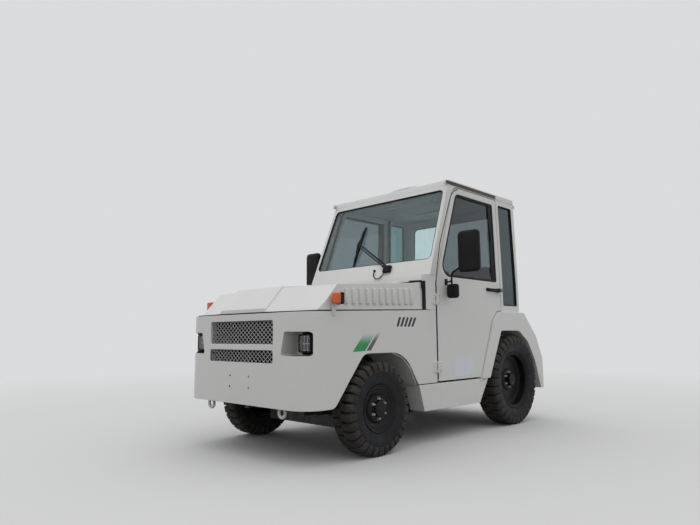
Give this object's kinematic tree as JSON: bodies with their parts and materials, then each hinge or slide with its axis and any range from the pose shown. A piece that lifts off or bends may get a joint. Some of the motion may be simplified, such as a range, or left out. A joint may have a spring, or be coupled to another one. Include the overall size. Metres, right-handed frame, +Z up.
{
  "type": "aircraft tow tractor",
  "caption": "Cabbed four-wheel tow tractor with steel front plate, hinged hood, two-door glazed cab, steered front wheels and a rear tow jaw.",
  "frame": {"origin": "middle of the tractor's box on the ground", "axes": "+X to the vehicle's left, -Y to its front, +Z up"},
  "size_m": [1.89, 3.05, 2.078],
  "materials": {
    "white_paint": "semi-gloss off-white body paint",
    "chassis_black": "satin black chassis paint",
    "rim_black": "satin black wheel paint",
    "grille_grey": "light grey expanded mesh over a black core",
    "engine_iron": "cast block and radiator",
    "black_plastic": "black moulded plastic",
    "cab_plastic": "grained dark grey plastic",
    "amber_lens": "ribbed amber lens",
    "red_lens": "ribbed red lens",
    "black_rubber": "extruded black rubber",
    "floor_rubber": "ribbed black floor mat on steel",
    "tinted_glass": "green-blue tinted safety glass",
    "seat_vinyl": "black grained vinyl",
    "tyre": "black tread rubber"
  },
  "bodies": {
    "tractor": {"chassis": "chassis_black", "front_plate": "white_paint", "grilles": "grille_grey", "engine": "engine_iron", "headlamps": "black_plastic", "marker_lamps": "amber_lens", "tow_rings": "white_paint", "hood_seal": "black_rubber", "cab_front": "white_paint", "cab_glass": "tinted_glass", "wiper": "black_plastic", "roof": "white_paint", "roof_hatch": "white_paint", "cab_rear": "white_paint", "side_frame_left": "white_paint", "side_frame_right": "white_paint", "floor": "floor_rubber", "seats": "seat_vinyl", "dashboard": "cab_plastic", "side_steps": "white_paint", "rear_fenders": "white_paint", "rear_body": "white_paint", "tail_lamps": "red_lens", "tow_jaw": "chassis_black", "front_axle": "chassis_black", "springs": "chassis_black", "drive_shaft": "chassis_black", "rear_axle": "chassis_black"},
    "hood": {"hood": "white_paint"},
    "door_left": {"door_left": "white_paint", "door_glass_left": "tinted_glass", "door_fittings_left": "black_plastic"},
    "door_right": {"door_right": "white_paint", "door_glass_right": "tinted_glass", "door_fittings_right": "black_plastic"},
    "knuckle_left": {"knuckle_left": "chassis_black"},
    "knuckle_right": {"knuckle_right": "chassis_black"},
    "tie_rod": {"tie_rod": "chassis_black"},
    "wheel_front_left": {"tyre_front_left": "tyre", "rim_front_left": "rim_black"},
    "wheel_front_right": {"tyre_front_right": "tyre", "rim_front_right": "rim_black"},
    "wheel_rear_left": {"tyre_rear_left": "tyre", "rim_rear_left": "rim_black"},
    "wheel_rear_right": {"tyre_rear_right": "tyre", "rim_rear_right": "rim_black"},
    "steering_wheel": {"steering_wheel": "cab_plastic"}
  },
  "joints": [
    {"name": "steer_left", "type": "hinge", "parent": "tractor", "child": "knuckle_left", "pos_m": [0.47, -0.906, 0.295], "axis": [0, 0, 1], "range_deg": [-30, 30]},
    {"name": "steer_right", "type": "hinge", "parent": "tractor", "child": "knuckle_right", "pos_m": [-0.47, -0.906, 0.295], "axis": [0, 0, 1], "range_deg": [-30, 30]},
    {"name": "tie_rod_pivot", "type": "hinge", "parent": "knuckle_left", "child": "tie_rod", "pos_m": [0.47, -0.756, 0.205], "axis": [0, 0, 1], "range_deg": [-30, 30]},
    {"name": "steering_wheel_turn", "type": "hinge", "parent": "tractor", "child": "steering_wheel", "pos_m": [0.24, 0.075, 1.185], "axis": [0, 0.7071, 0.7071], "range_deg": [-540, 540]},
    {"name": "spin_front_left", "type": "hinge", "parent": "knuckle_left", "child": "wheel_front_left", "pos_m": [0.598, -0.906, 0.295], "axis": [1, 0, 0], "continuous": true},
    {"name": "spin_rear_left", "type": "hinge", "parent": "tractor", "child": "wheel_rear_left", "pos_m": [0.58, 0.881, 0.3735], "axis": [1, 0, 0], "continuous": true},
    {"name": "door_left_swing", "type": "hinge", "parent": "tractor", "child": "door_left", "pos_m": [0.659, -0.244, 1], "axis": [0, 0, -1], "range_deg": [0, 75]},
    {"name": "spin_front_right", "type": "hinge", "parent": "knuckle_right", "child": "wheel_front_right", "pos_m": [-0.598, -0.906, 0.295], "axis": [1, 0, 0], "continuous": true},
    {"name": "spin_rear_right", "type": "hinge", "parent": "tractor", "child": "wheel_rear_right", "pos_m": [-0.58, 0.881, 0.3735], "axis": [1, 0, 0], "continuous": true},
    {"name": "door_right_swing", "type": "hinge", "parent": "tractor", "child": "door_right", "pos_m": [-0.659, -0.244, 1], "axis": [0, 0, 1], "range_deg": [0, 75]},
    {"name": "hood_lift", "type": "hinge", "parent": "tractor", "child": "hood", "pos_m": [0, -0.431, 1.15], "axis": [-1, 0, 0], "range_deg": [0, 50]}
  ],
  "couplings": [
    {"joint": "steer_right", "follows": "steer_left", "ratio": 1},
    {"joint": "tie_rod_pivot", "follows": "steer_left", "ratio": -1},
    {"joint": "steering_wheel_turn", "follows": "steer_left", "ratio": 18}
  ]
}
